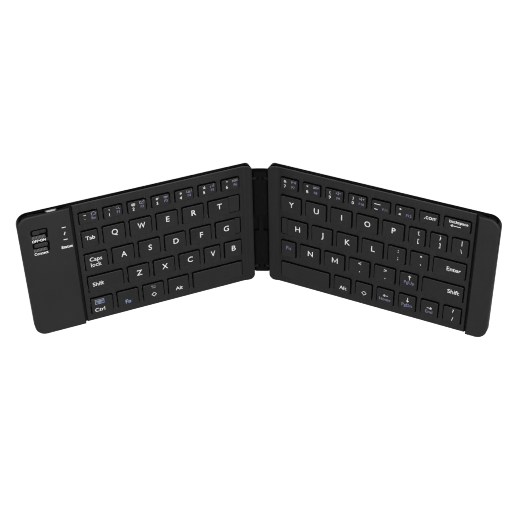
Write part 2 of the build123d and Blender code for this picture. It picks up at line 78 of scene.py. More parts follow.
# Recesses of the power switch and the connect button, from their far to their near end
CONTROL_FAR = CASE_END - 7.5
CONTROL_NEAR = CONTROL_FAR - 10.3
CONTROL_FLOOR = 5.7
CONTROL_SLOPE = 2.8          # length of the sloped lower side
CONTROL_HEIGHT = 4.4
SWITCH_BASE = 79.0
CONNECT_BASE = 69.3
LIGHTS = CASE_END - PANEL_WIDTH[LEFT] + 6.2


def half_matrix(side):
    """From (u, z, level) of a half to the shared frame."""
    across = Vector((math.cos(FOLD), -side * math.sin(FOLD), 0))
    normal = Vector((-side * math.sin(FOLD), -math.cos(FOLD), 0))
    origin = PIN[side] - normal * PIN_LEVEL * MM
    rows = [[across[i], (0, 0, 1)[i], normal[i], origin[i]] for i in range(3)]
    return Matrix(rows + [[0, 0, 0, 1]])


HALF = {side: half_matrix(side) for side in (LEFT, RIGHT)}


# ---- material nodes ----

def material(name, build):
    mat = bpy.data.materials.new(name)
    mat.use_nodes = True
    tree = mat.node_tree
    tree.nodes.clear()
    out = tree.nodes.new("ShaderNodeOutputMaterial")
    shader = tree.nodes.new("ShaderNodeBsdfPrincipled")
    tree.links.new(shader.outputs["BSDF"], out.inputs["Surface"])
    build(tree, shader)
    return mat


def place(tree, stretch=(1, 1, 1)):
    """Object coordinates, stretched along an axis for brushed or streaked finishes."""
    coord = tree.nodes.new("ShaderNodeTexCoord")
    mapping = tree.nodes.new("ShaderNodeMapping")
    mapping.inputs["Scale"].default_value = stretch
    tree.links.new(coord.outputs["Object"], mapping.inputs["Vector"])
    return mapping.outputs["Vector"]


def noise(tree, vector, scale, detail=3.0, rough=0.5):
    node = tree.nodes.new("ShaderNodeTexNoise")
    node.inputs["Scale"].default_value = scale
    node.inputs["Detail"].default_value = detail
    node.inputs["Roughness"].default_value = rough
    tree.links.new(vector, node.inputs["Vector"])
    return node.outputs["Fac"]


def spread(tree, value, low, high, from_low=0.3, from_high=0.7):
    """Maps a value to a range. The defaults suit a noise, which stays near its middle."""
    node = tree.nodes.new("ShaderNodeMapRange")
    node.inputs["From Min"].default_value = from_low
    node.inputs["From Max"].default_value = from_high
    node.inputs["To Min"].default_value = low
    node.inputs["To Max"].default_value = high
    tree.links.new(value, node.inputs["Value"])
    return node.outputs["Result"]


def blend_colours(tree, value, first, second):
    node = tree.nodes.new("ShaderNodeMix")
    node.data_type = "RGBA"
    node.inputs[6].default_value = (*first, 1)
    node.inputs[7].default_value = (*second, 1)
    tree.links.new(value, node.inputs[0])
    return node.outputs[2]


def paint(tree, shader, value, dark, light):
    """Base colour between two tones, by a noise."""
    tone = blend_colours(tree, spread(tree, value, 0, 1), dark, light)
    tree.links.new(tone, shader.inputs["Base Color"])


def polish(tree, shader, value, rough):
    """Roughness between two values, by a noise."""
    tree.links.new(spread(tree, value, *rough), shader.inputs["Roughness"])


def bump(tree, shader, value, distance):
    node = tree.nodes.new("ShaderNodeBump")
    node.inputs["Distance"].default_value = distance
    node.inputs["Strength"].default_value = 1.0
    tree.links.new(value, node.inputs["Height"])
    tree.links.new(node.outputs["Normal"], shader.inputs["Normal"])


# ---- finishes ----

HINGE_SHADE_SPAN = (10 * MM, 26 * MM)          # painted shade: the deck's sheen drops from the second to the first, in x, towards the hinge


def plain(dark, light, rough, scale, detail=3.0, grain=0.5, depth=0.00001,
          specular=0.5, metallic=0.0, stretch=(1, 1, 1)):
    """A finish whose tone, roughness and bumps follow one noise."""
    def build(tree, shader):
        fine = noise(tree, place(tree, stretch), scale, detail, grain)
        paint(tree, shader, fine, dark, light)
        polish(tree, shader, fine, rough)
        shader.inputs["Specular IOR Level"].default_value = specular
        shader.inputs["Metallic"].default_value = metallic
        bump(tree, shader, fine, depth)
    return build


def ink(dark, light):
    return plain(dark, light, (0.5, 0.65), 3000, 3.0, 0.6, 0.000004)


def metal(dark, light, rough, stretch=(1, 1, 1), scale=900.0, depth=0.000004):
    return plain(dark, light, rough, scale, 4.0, 0.6, depth, metallic=1.0, stretch=stretch)


def shade(dark, light, specular, rough):
    """Painted shade for the walls of gaps and recesses, or a painted highlight for an edge."""
    return plain(dark, light, rough, 1200.0, 2.0, 0.5, specular=specular)


def moulded(dark, light, rough, grain=2600.0, depth=0.00002, patch=35.0):
    """Moulded plastic: spark-eroded grain, and a slow drift of tone and sheen."""
    def build(tree, shader):
        where = place(tree)
        slow = noise(tree, where, patch, 4.0, 0.6)
        paint(tree, shader, slow, dark, light)
        polish(tree, shader, slow, rough)
        shader.inputs["Specular IOR Level"].default_value = 0.42
        bump(tree, shader, noise(tree, where, grain, 2.0, 0.6), depth)
    return build


def gloss(tree, shader):
    """Glossy black of the trays."""
    where = place(tree)
    slow = noise(tree, where, 60, 5.0, 0.65)
    paint(tree, shader, slow, (0.0035, 0.0035, 0.004), (0.006, 0.006, 0.0065))
    polish(tree, shader, slow, (0.22, 0.32))
    shader.inputs["Specular IOR Level"].default_value = 0.4
    bump(tree, shader, noise(tree, where, 900, 2.0, 0.5), 0.000004)


def deck(tree, shader):
    """Key deck: moulded plastic with faint streaks along the hinge, and painted shade beside the
    hinge, where its sheen is lowered.
    """
    where = place(tree)
    streaks = noise(tree, place(tree, (1, 1, 0.015)), 700.0, 2.0, 0.55)
    axes = tree.nodes.new("ShaderNodeSeparateXYZ")
    tree.links.new(where, axes.inputs["Vector"])
    span = tree.nodes.new("ShaderNodeMath")
    span.operation = "ABSOLUTE"
    tree.links.new(axes.outputs["X"], span.inputs[0])
    # painted shade: less sheen near the hinge, where the other half shades the deck
    sheen = spread(tree, span.outputs["Value"], 0.27, 0.42, *HINGE_SHADE_SPAN)
    tree.links.new(sheen, shader.inputs["Specular IOR Level"])
    paint(tree, shader, streaks, (0.0095, 0.0095, 0.0100), (0.0150, 0.0148, 0.0150))
    polish(tree, shader, noise(tree, where, 35.0, 4.0, 0.6), (0.50, 0.60))
    bump(tree, shader, noise(tree, where, 2600.0, 2.0, 0.6), 0.00002)


def skin(tree, shader):
    """Matt rubber skin with faint lines along the hinge."""
    lines = noise(tree, place(tree, (1, 1, 0.12)), 1600, 3.0, 0.5)
    paint(tree, shader, lines, (0.0020, 0.0020, 0.0023), (0.0042, 0.0042, 0.0045))
    polish(tree, shader, noise(tree, place(tree), 45, 3.0, 0.5), (0.70, 0.82))
    shader.inputs["Specular IOR Level"].default_value = 0.1
    bump(tree, shader, lines, 0.00003)


def rubber(tree, shader):
    where = place(tree)
    fine = noise(tree, where, 1800, 4.0, 0.7)
    paint(tree, shader, noise(tree, where, 120, 3.0, 0.5),
          (0.010, 0.010, 0.010), (0.020, 0.020, 0.019))
    polish(tree, shader, fine, (0.75, 0.92))
    shader.inputs["Specular IOR Level"].default_value = 0.25
    bump(tree, shader, fine, 0.00003)


def nylon_painted_glow(tree, shader):
    """White nylon, with a faint painted glow from emission."""
    ink((0.80, 0.80, 0.78), (0.90, 0.90, 0.88))(tree, shader)
    # painted glow: the insulator emits a little light, though it is no lamp
    shader.inputs["Emission Color"].default_value = (1, 1, 0.97, 1)
    shader.inputs["Emission Strength"].default_value = 0.3


def board(tree, shader):
    """Green solder mask over copper tracks."""
    where = place(tree)
    cells = tree.nodes.new("ShaderNodeTexVoronoi")
    cells.distance = "MANHATTAN"
    cells.inputs["Scale"].default_value = 420
    tree.links.new(where, cells.inputs["Vector"])
    track = spread(tree, cells.outputs["Distance"], 0, 1, 0.35, 0.4)
    tone = blend_colours(tree, track, (0.010, 0.06, 0.026), (0.02, 0.12, 0.05))
    tree.links.new(tone, shader.inputs["Base Color"])
    polish(tree, shader, noise(tree, where, 300), (0.3, 0.45))
    bump(tree, shader, track, 0.00001)


def black_film(tree, shader):
    """Black cover film with copper tracks that show as faint lines."""
    fine = noise(tree, place(tree), 700, 3.0, 0.5)
    paint(tree, shader, fine, (0.0020, 0.0020, 0.0023), (0.0042, 0.0042, 0.0043))
    polish(tree, shader, fine, (0.6, 0.75))
    shader.inputs["Specular IOR Level"].default_value = 0.1
    bump(tree, shader, noise(tree, place(tree, (0.02, 0.02, 1)), 1400, 1.0, 0.5), 0.00003)


def silicone(tree, shader):
    plain((0.42, 0.42, 0.41), (0.52, 0.52, 0.51), (0.45, 0.6), 900)(tree, shader)
    shader.inputs["Subsurface Weight"].default_value = 0.1


deck_black = material("deck_black", deck)
# Painted shade: near-black for the walls of key gaps and recesses, for rib valleys and for the
# rings round the controls
gap_black = material("gap_black", shade(
    (0.0010, 0.0010, 0.0011), (0.0018, 0.0018, 0.0019), 0.04, (0.8, 0.9)))
# A dark seam, deepened with painted shade beside the end panels, on the panels' hinge-side edges,
# inside the trays and on the hinge lugs
seam_black = material("seam_black", shade(
    (0.0045, 0.0045, 0.0046), (0.0065, 0.0065, 0.0066), 0.25, (0.6, 0.7)))
# Painted shade: the caps' side walls, which face away from the light
cap_side = material("cap_side", shade(
    (0.0010, 0.0010, 0.0011), (0.0020, 0.0020, 0.0021), 0.06, (0.7, 0.8)))
# Painted highlight: a lighter tone on the caps' top edges that look to the back
cap_edge = material("cap_edge", shade(
    (0.050, 0.050, 0.051), (0.065, 0.065, 0.066), 0.45, (0.4, 0.5)))
# Painted highlight: a lighter tone on the rounded rim along the back
rim_edge = material("rim_edge", shade(
    (0.055, 0.055, 0.056), (0.070, 0.070, 0.071), 0.5, (0.4, 0.5)))
# Painted highlight: a lighter tone on the end panels' back edge
panel_edge = material("panel_edge", shade(
    (0.020, 0.020, 0.021), (0.026, 0.026, 0.027), 0.4, (0.4, 0.5)))
panel_black = material("panel_black", moulded(
    (0.0120, 0.0120, 0.0125), (0.0155, 0.0153, 0.0156), (0.48, 0.58)))
cap_black = material("cap_black", moulded(
    (0.0105, 0.0104, 0.0108), (0.0138, 0.0134, 0.0136), (0.42, 0.53),
    grain=3400.0, depth=0.000014, patch=55.0))
knob_grey = material("knob_grey", moulded(
    (0.020, 0.020, 0.021), (0.034, 0.034, 0.035), (0.38, 0.5),
    grain=3000.0, depth=0.00001, patch=90.0))
# Painted light: a light grey for the ribs on the control slopes, standing in for the lit slope
rib_grey = material("rib_grey", moulded(
    (0.10, 0.10, 0.10), (0.15, 0.15, 0.15), (0.4, 0.5),
    grain=3000.0, depth=0.00001, patch=90.0))
tray_black = material("tray_black", gloss)
band_skin = material("band_skin", skin)
foot_rubber = material("foot_rubber", rubber)
white_ink = material("white_ink", ink((0.80, 0.80, 0.79), (0.92, 0.92, 0.91)))
lilac_ink = material("lilac_ink", ink((0.30, 0.30, 0.42), (0.38, 0.38, 0.52)))
blue_ink = material("blue_ink", ink((0.17, 0.17, 0.27), (0.24, 0.24, 0.36)))
pale_blue_ink = material("pale_blue_ink", ink((0.30, 0.37, 0.56), (0.42, 0.50, 0.70)))
socket_white = material("socket_white", nylon_painted_glow)
screw_steel = material("screw_steel", metal(
    (0.16, 0.16, 0.165), (0.28, 0.28, 0.285), (0.28, 0.4)))
pin_black = material("pin_black", metal(
    (0.006, 0.006, 0.0062), (0.010, 0.010, 0.0102), (0.5, 0.6)))
plate_steel = material("plate_steel", metal(
    (0.46, 0.46, 0.47), (0.60, 0.60, 0.61), (0.3, 0.42), (1, 1, 12), 120.0))
socket_metal = material("socket_metal", metal(
    (0.62, 0.62, 0.63), (0.80, 0.80, 0.80), (0.18, 0.28)))
battery_foil = material("battery_foil", metal(
    (0.50, 0.51, 0.53), (0.66, 0.67, 0.69), (0.3, 0.48), scale=260.0, depth=0.00003))
board_green = material("board_green", board)
membrane_film = material("membrane_film", plain(
    (0.50, 0.52, 0.50), (0.66, 0.68, 0.64), (0.2, 0.35), 200))
flex_film = material("flex_film", black_film)
dome_rubber = material("dome_rubber", silicone)
light_white = material("light_white", plain(
    (0.70, 0.71, 0.73), (0.86, 0.87, 0.89), (0.3, 0.4), 1500, 2.0, depth=0.000005))

NODE_FINISH = {
    "bottom_cover": tray_black, "key_frame": deck_black, "end_cover": panel_black,
    "support_plate": plate_steel, "membrane": membrane_film, "dome_sheet": dome_rubber,
    "screws": screw_steel, "rubber_feet": foot_rubber, "circuit_board": board_green,
    "battery": battery_foil, "usb_socket": socket_metal, "power_switch": knob_grey,
    "connect_button": knob_grey, "light_guides": light_white, "hinge_band": band_skin,
    "hinge_pins": pin_black, "flex_cable": flex_film,
}

for node_name, node in frame["nodes"].items():
    stem = node_name.rsplit("_", 1)[0] if node_name.endswith(("_left", "_right")) else node_name
    node.data.materials.clear()
    node.data.materials.append(NODE_FINISH.get(node_name) or NODE_FINISH.get(stem) or cap_black)


# ---- finishes, painted highlights and painted shade, face by face ----

# Indices of the face finishes: the node's own, painted shade, a painted highlight, and painted
# shade along a seam
OWN, SHADED, HIGHLIT, SEAM_SHADED = range(4)
UPWARD = 0.3                 # a normal's share, above which a face looks up or to the hinge
DECK_END = {side: CASE_END - width - 1.0 for side, width in PANEL_WIDTH.items()}
DECK_RIM = CASE_TOP - 1.4    # from here a slope belongs to the rim along the back
DECK_SKIN = 3.4              # above the deck's underside
PANEL_BACK = CASE_TOP - 1.6
PANEL_FRONT = 1.5
PANEL_END = CASE_END - 1.75
PANEL_SIDE = 4.5             # the panel's walls show above this level
RECESS_TOP = PANEL - 0.08    # faces below this are the recess's own
RECESS_RISE = (66.0, 84.0)
RECESS_SPAN = (140.5, 151.8)
TRAY_INSIDE = (1.0, 3.6)
LUG_END = 6.4                # hinge lugs lie between this and the middle


def tone_faces(node_name, side, mats, choose):
    """Further finishes for a CAD node, painted highlights and painted shade among them, by each
    face's middle and normal in its half.
    """
    node, back = frame["nodes"][node_name], HALF[side].inverted()
    for mat in mats:
        node.data.materials.append(mat)
    turn = back.to_3x3()
    for polygon in node.data.polygons:
        polygon.material_index = choose(back @ polygon.center / MM, turn @ polygon.normal)


def deck_tone(middle, normal):
    """A painted highlight on the rim at the back, and painted shade beside the end panel and on
    the walls in the key openings.
    """
    if 0.1 < normal.z < 0.97 and normal.y > 0.1 and middle.y > DECK_RIM:
        return HIGHLIT
    if abs(middle.x) > DECK_END[RIGHT if middle.x > 0 else LEFT] and normal.z > UPWARD:
        return SEAM_SHADED
    return OWN if normal.z > UPWARD and middle.z > DECK_SKIN else SHADED


def panel_tone(middle, normal):
    """A painted highlight on the edge at the back, painted shade on the side towards the deck and
    in the recesses, and the outer skin.
    """
    if 0.5 < normal.z < 0.9 and middle.y > PANEL_BACK and normal.y > 0.1:
        return HIGHLIT
    if -math.copysign(1, middle.x) * normal.x > UPWARD:
        return SEAM_SHADED
    rise, span = RECESS_RISE, RECESS_SPAN
    if middle.z < RECESS_TOP and rise[0] < middle.y < rise[1] and span[0] < -middle.x < span[1]:
        return SHADED
    outside = abs(middle.x) > PANEL_END or middle.y < PANEL_FRONT or middle.y > PANEL_BACK
    return OWN if middle.z > PANEL_SIDE and (normal.z > UPWARD or outside) else SHADED


def tray_tone(middle, normal):
    """Index 1, painted shade along seams, on the ledges inside the tray and on the hinge lugs."""
    ledge = normal.z > 0.5 and TRAY_INSIDE[0] < middle.z < TRAY_INSIDE[1]
    return 1 if ledge or abs(middle.x) < LUG_END else OWN


for side, tail in TAIL.items():
    tone_faces("key_frame_" + tail, side, [gap_black, rim_edge, seam_black], deck_tone)
    tone_faces("end_cover_" + tail, side, [gap_black, panel_edge, seam_black], panel_tone)
    tone_faces("bottom_cover_" + tail, side, [seam_black], tray_tone)


# ---- mesh helpers ----

def mesh_object(name, bm, mats, smooth=True):
    mesh = bpy.data.meshes.new(name)
    bmesh.ops.recalc_face_normals(bm, faces=bm.faces)
    bm.to_mesh(mesh)
    bm.free()
    for mat in mats:
        mesh.materials.append(mat)
    for polygon in mesh.polygons:
        polygon.use_smooth = smooth
    made = bpy.data.objects.new(name, mesh)
    bpy.context.scene.collection.objects.link(made)
    return made


def rounded_ring(u0, u1, z0, z1, radius, steps=6):
    """Points of a rounded rectangle, counter-clockwise."""
    radius = max(min(radius, (u1 - u0) / 2 - 1e-5, (z1 - z0) / 2 - 1e-5), 1e-5)
    points = []
    corners = ((u1 - radius, z1 - radius, 0), (u0 + radius, z1 - radius, 90),
               (u0 + radius, z0 + radius, 180), (u1 - radius, z0 + radius, 270))
    for cu, cz, start in corners:
        for step in range(steps + 1):
            a = math.radians(start + 90 * step / steps)
            points.append((cu + radius * math.cos(a), cz + radius * math.sin(a)))
    return points


def disc_rings(centre, radii_levels, steps=24):
    """Circles about a point, each with its level."""
    turns = [2 * math.pi * i / steps for i in range(steps)]
    return [([(centre[0] + radius * math.cos(a), centre[1] + radius * math.sin(a)) for a in turns],
             level) for radius, level in radii_levels]


def join_loops(bm, first, second, index=0):
    """Quads between two closed loops of equal length."""
    for i in range(len(first)):
        j = (i + 1) % len(first)
        bm.faces.new((first[i], first[j], second[j], second[i])).material_index = index


def loft_rings(bm, rings, turn, bands=()):
    """Joins rings of equal length into a closed skin. A ring is its points and their level.
    Bands are the material indices between the rings, then of the first and the last face."""
    loops = [[bm.verts.new(turn @ Vector((u, z, level))) for u, z in points]
             for points, level in rings]
    bands = list(bands) or [0] * (len(loops) + 1)
    bm.faces.new(reversed(loops[0])).material_index = bands[-2]
    bm.faces.new(loops[-1]).material_index = bands[-1]
    for band, low, high in zip(bands, loops, loops[1:]):
        join_loops(bm, low, high, band)


def islands(node_name, side):
    """The separate solids of a CAD node: each a box in its half's flat frame, and its points."""
    back = HALF[side].inverted()
    bm = bmesh.new()
    bm.from_mesh(frame["nodes"][node_name].data)
    bmesh.ops.remove_doubles(bm, verts=bm.verts, dist=1e-6)
    left, boxes = set(bm.verts), []
    while left:
        stack, island = [left.pop()], []
        while stack:
            vert = stack.pop()
            island.append(back @ vert.co)
            for edge in vert.link_edges:
                other = edge.other_vert(vert)
                if other in left:
                    left.remove(other)
                    stack.append(other)
        low = Vector(min(p[i] for p in island) for i in range(3))
        high = Vector(max(p[i] for p in island) for i in range(3))
        boxes.append((low, high, island))
    bm.free()
    return boxes


def stand_for(piece, node_name, body):
    """The piece replaces a CAD node and rides a body."""
    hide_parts(node_name)
    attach(piece, body)


# ---- key caps ----

CAP_CORNER = 1.25 * MM
CAP_DRAFT = 0.42 * MM        # the side leans in
CAP_ROUND = 0.30 * MM        # top edge
CAP_DISH = 0.07 * MM
DISH_EDGE = 1.5 * MM
CORNER_LEAST = 0.3 * MM
CAD_EDGE = 0.3 * MM          # the CAD cap's chamfer beside its top face
LEDGE_LEAST = 1.5 * MM       # a top that stops this far short leaves a ledge
LEDGE_DROP = 0.6 * MM
CAP_BANDS = (1, 1, 1, 2, 2, 0, 0, 0, 1, 0)      # 0 cap, 1 side in painted shade, 2 edge, whose faces that look back get a painted highlight; the base is a side


def smooth_share(share):
    return share * share * (3 - 2 * share)


def dish(u, z, face):
    """How far the top lies below the rim of the cap at a point."""
    low, high = face
    from_edge = min(u - low[0], high[0] - u, z - low[1], high[1] - z)
    return CAP_DISH * smooth_share(max(0.0, min(1.0, (from_edge - CAP_ROUND) / DISH_EDGE)))


def top_span(high, points):
    """Start and end in u of a cap's top, out to its edges."""
    top = [p[0] for p in points if p[2] > high[2] - 1e-5]
    return min(top) - CAD_EDGE, max(top) + CAD_EDGE


def cap_block(bm, low, high, turn):
    """A closed cap with a leaning side, a round top edge and a faint dish."""
    rings = []

    def ring(inset, level):
        corner = max(CAP_CORNER - inset * 0.6, CORNER_LEAST)
        rings.append((rounded_ring(low[0] + inset, high[0] - inset,
                                   low[1] + inset, high[1] - inset, corner), level))

    ring(0, low[2])
    ring(0, low[2] + 0.35 * (high[2] - low[2]))
    ring(CAP_DRAFT, high[2] - CAP_ROUND)
    for degrees in (30, 60, 90):
        a = math.radians(degrees)
        ring(CAP_DRAFT + CAP_ROUND * (1 - math.cos(a)), high[2] - CAP_ROUND * (1 - math.sin(a)))
    for share in (0.35, 0.7, 1.0):
        ring(CAP_DRAFT + CAP_ROUND + DISH_EDGE * share, high[2] - CAP_DISH * smooth_share(share))
    loft_rings(bm, rings, turn, CAP_BANDS)


def cap_piece(name, node_name, boxes, side):
    """One mesh for the caps of a node. A cap with a ledge is a lower and a taller block."""
    bm = bmesh.new()
    for low, high, points in boxes:
        start, end = top_span(high, points)
        if start > low[0] + LEDGE_LEAST or end < high[0] - LEDGE_LEAST:
            cap_block(bm, low, high - Vector((0, 0, LEDGE_DROP)), HALF[side])
            low = Vector((max(start, low[0]), low[1], low[2]))
            high = Vector((min(end, high[0]), high[1], high[2]))
        cap_block(bm, low, high, HALF[side])
    turn = HALF[side].inverted().to_3x3()
    for face in bm.faces:
        face.normal_update()
        if face.material_index == 2 and (turn @ face.normal).y < 0.35:
            face.material_index = 0     # painted highlight only on the edges that look to the back
    stand_for(mesh_object(name, bm, [cap_black, cap_side, cap_edge]),
              node_name, node_name)


# ---- legends ----

LETTER, DIGIT, SIGN, FUNCTION = 4.4, 2.3, 2.1, 1.9     # heights of capitals, mm
BOLD, THIN = 0.05, 0.04      # growth of the outlines, mm
CAPITAL = 0.729              # a capital's height in the font's size
INK_LOW, INK_HIGH = 0.004 * MM, 0.018 * MM             # the ink over its surface
NARROW = {"A": 0.9, "C": 0.95, "D": 0.94, "G": 0.94, "K": 0.96, "N": 0.95, "O": 0.9,
          "Q": 0.9, "T": 0.95, "V": 0.86, "W": 0.79, "X": 0.9, "Y": 0.9}
LETTER_WIDTH = 0.98
ROW_LIFT = (("QWERT", 1.1), ("YUIOP", 0.6), ("ASDFGHKL", 0.4), ("J", 0.9),
            ("ZX", 0.3), ("CV", 0.7), ("BNM", 1.05))
HAND_M = (([[(-1.8, 0.31), (-1.8, 4.09)], [(1.8, 0.31), (1.8, 4.09)]], 0.62),
          ([[(-1.7, 4.0), (0, 0.8), (1.7, 4.0)]], 0.42))


def text_mesh(text, height, bold, width=1.0):
    """A flat text, centred on its own box. Height is a capital's, in mm, and bold too."""
    curve = bpy.data.curves.new("glyphs", "FONT")
    curve.body = text
    curve.size = height * MM / CAPITAL
    curve.offset = bold * MM
    curve.resolution_u = 3
    holder = bpy.data.objects.new("glyphs", curve)
    bpy.context.scene.collection.objects.link(holder)
    bpy.context.view_layer.update()
    shown = holder.evaluated_get(bpy.context.evaluated_depsgraph_get())
    mesh = bpy.data.meshes.new_from_object(shown)
    points = [Vector((v.co.x * width, v.co.y, 0)) for v in mesh.vertices]
    faces = [tuple(p.vertices) for p in mesh.polygons]
    bpy.data.objects.remove(holder)
    bpy.data.curves.remove(curve)
    bpy.data.meshes.remove(mesh)
    middle = (min(p.x for p in points) + max(p.x for p in points)) / 2
    for p in points:
        p.x -= middle
    return points, faces


def strokes(lines, thick):
    """Flat strokes from runs of points in mm: each part of a run becomes a quad."""
    points, faces, thick = [], [], thick * MM
    for run in lines:
        run = [(x * MM, y * MM) for x, y in run]
        for (x0, y0), (x1, y1) in zip(run, run[1:]):
            ahead = Vector((x1 - x0, y1 - y0, 0)).normalized() * thick / 2
            aside = Vector((-ahead.y, ahead.x, 0))
            base = len(points)
            a, b = Vector((x0, y0, 0)) - ahead, Vector((x1, y1, 0)) + ahead
            points += [a - aside, b - aside, b + aside, a + aside]
            faces.append((base, base + 1, base + 2, base + 3))
    return points, faces


class Print:
    """Collects flat marks on one body and makes them one thin mesh over a surface."""

    def __init__(self):
        self.bm = bmesh.new()
        self.mats = []

    def face(self, corners, index):
        """Adds a face, except one that is there already or has a corner twice."""
        try:
            self.bm.faces.new(corners).material_index = index
        except ValueError:
            pass

    def add(self, shape, at, side, level, mat, face=None):
        """A shape about a point (u, z), laid on a level, or on the dish of a cap's top face."""
        points, faces = shape
        if mat not in self.mats:
            self.mats.append(mat)
        index = self.mats.index(mat)
        layers = []
        for lift in (INK_LOW, INK_HIGH):
            layer = []
            for p in points:
                u, z = at[0] + p.x, at[1] + p.y
                sink = dish(u, z, face) if face else 0.0
                layer.append(self.bm.verts.new(HALF[side] @ Vector((u, z, level - sink + lift))))
            layers.append(layer)
        low, high = layers
        outline = {}
        for f in faces:
            self.face([high[i] for i in f], index)
            self.face([low[i] for i in reversed(f)], index)
            for i, j in zip(f, f[1:] + f[:1]):
                key = (min(i, j), max(i, j))
                outline[key] = None if key in outline else (i, j)
        for i, j in filter(None, outline.values()):
            self.face((low[i], low[j], high[j], high[i]), index)

    def piece(self, name, body):
        loose = [v for v in self.bm.verts if not v.link_faces]
        bmesh.ops.delete(self.bm, geom=loose, context="VERTS")
        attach(mesh_object(name, self.bm, self.mats, smooth=False), body)


# A mark is a list of (shape, offset in mm from the middle of the cap's top, ink).

def letter(text):
    lift = next(value for letters, value in ROW_LIFT if text in letters)
    at = (0.45, lift - LETTER / 2)
    if text == "M":             # the font's M fills in at this size
        return [(strokes(lines, thick), at, white_ink) for lines, thick in HAND_M]
    return [(text_mesh(text, LETTER, BOLD, NARROW.get(text, LETTER_WIDTH)), at, white_ink)]


def word(text, du, dz, height, mat=white_ink, width=1.0):
    return [(text_mesh(text, height, THIN, width), (du, dz - height / 2), mat)]


def arrow(angle, du, dz, length, thick=0.42):
    """A straight arrow that points along an angle in degrees."""
    half, head = length / 2, 0.95
    c, s = math.cos(math.radians(angle)), math.sin(math.radians(angle))
    barbs = [(half - head, head * 0.75), (half, 0), (half - head, -head * 0.75)]
    turned = [[(x * c - y * s, x * s + y * c) for x, y in line]
              for line in ([(-half, 0), (half, 0)], barbs)]
    return [(strokes(turned, thick), (du, dz), white_ink)]


def icon(lines, du, dz, mat, thick=0.26, size=1.0):
    scaled = [[(x * size, y * size) for x, y in line] for line in lines]
    return [(strokes(scaled, thick), (du, dz), mat)]


def circle_line(cx, cy, r, start=0, end=360, steps=14):
    turns = [math.radians(start + (end - start) * i / steps) for i in range(steps + 1)]
    return [(cx + r * math.cos(a), cy + r * math.sin(a)) for a in turns]


def frame_line(w, low, high):
    return [(-w, low), (w, low), (w, high), (-w, high), (-w, low)]


def bar(x, low, high):
    return [(x, low), (x, high)]


def wedge(back, tip):
    return [(back, 0.6), (tip, 0), (back, -0.6), (back, 0.6)]


SPEAKER = [(-1.2, -0.3), (-0.7, -0.3), (-0.1, -0.75), (-0.1, 0.75),
           (-0.7, 0.3), (-1.2, 0.3), (-1.2, -0.3)]
ICONS = {
    "house": [[(-1.3, 0), (0, 1.0), (1.3, 0)],
              [(-0.8, 0.2), (-0.8, -0.8), (0.8, -0.8), (0.8, 0.2)]],
    "glass": [circle_line(-0.2, 0.25, 0.62), [(0.25, -0.2), (0.95, -0.85)]],
    "letter": [frame_line(1.1, -0.7, 0.7), [(-1.1, 0.7), (0, -0.1), (1.1, 0.7)]],
    "globe": [circle_line(0, 0, 0.85), [(-0.85, 0), (0.85, 0)], circle_line(0, 0, 0.4)],
    "lens": [frame_line(1.1, -0.7, 0.6), circle_line(0, -0.05, 0.42)],
    "bars": [bar(-0.8, -0.7, 0.0), bar(0, -0.7, 0.45), bar(0.8, -0.7, 0.85)],
    "back": [bar(-1.2, -0.6, 0.6), wedge(0, -0.95), wedge(1.1, 0.15)],
    "play": [wedge(-1.0, -0.1), bar(0.4, -0.6, 0.6), bar(0.95, -0.6, 0.6)],
    "next": [wedge(-1.1, -0.15), wedge(0, 0.95), bar(1.2, -0.6, 0.6)],
    "quiet": [SPEAKER, [(0.4, 0), (1.1, 0)]],
    "loud": [SPEAKER, [(0.4, 0), (1.2, 0)], bar(0.8, -0.4, 0.4)],
    "board": [frame_line(1.7, -0.95, 0.95), [(-1.2, 0.4), (1.2, 0.4)],
              [(-1.2, 0), (1.2, 0)], [(-0.8, -0.45), (0.8, -0.45)]],
    "turn": [[(-1.1, 0.5), (0.5, 0.5)], circle_line(0.5, 0, 0.5, 90, -90, 8),
             [(0.5, -0.5), (-0.7, -0.5)], [(-0.5, 0.95), (-1.1, 0.5), (-0.5, 0.1)]],
    "diamond": [[(-1.25, 0), (0, 1.25), (1.25, 0), (0, -1.25), (-1.25, 0)]],
}


def number_key(shifted, digit, sign, function, side=LEFT):
    """Two signs on the left of the cap, an icon and a function on the right.
    On the right half all of it lies a little further to the hinge and to the front."""
    du, dz, low = (0, 0, 0) if side == LEFT else (-0.6, -0.5, -0.9)
    if shifted == "_":
        marks = icon([[(-1.8, 0), (1.8, 0)]], -1.7 + du, 2.0 + dz, white_ink, 0.5)
        marks += icon([[(-0.9, 0), (0.9, 0)]], -2.5 + du, -1.9 + dz, white_ink, 0.5)
    else:
        marks = word(shifted, -2.3 + du, 2.6 + dz, SIGN)
        marks += word(digit, -2.4 + du, -1.25 + dz, DIGIT)
    if sign:
        marks += icon(ICONS[sign], 3.4 + du / 2, 2.5, lilac_ink, size=1.4)
    return marks + word(function, 3.5 + du, -0.6 + low, FUNCTION, blue_ink)


def pair_key(upper, lower, up, down, du=1.1):
    """Two signs one above the other, at heights over the middle of the cap."""
    return word(upper, du, up, 3.0) + word(lower, du, down, 3.0)


def diamond(du, dz):
    return icon(ICONS["diamond"], du, dz, white_ink, 0.4, 1.3)


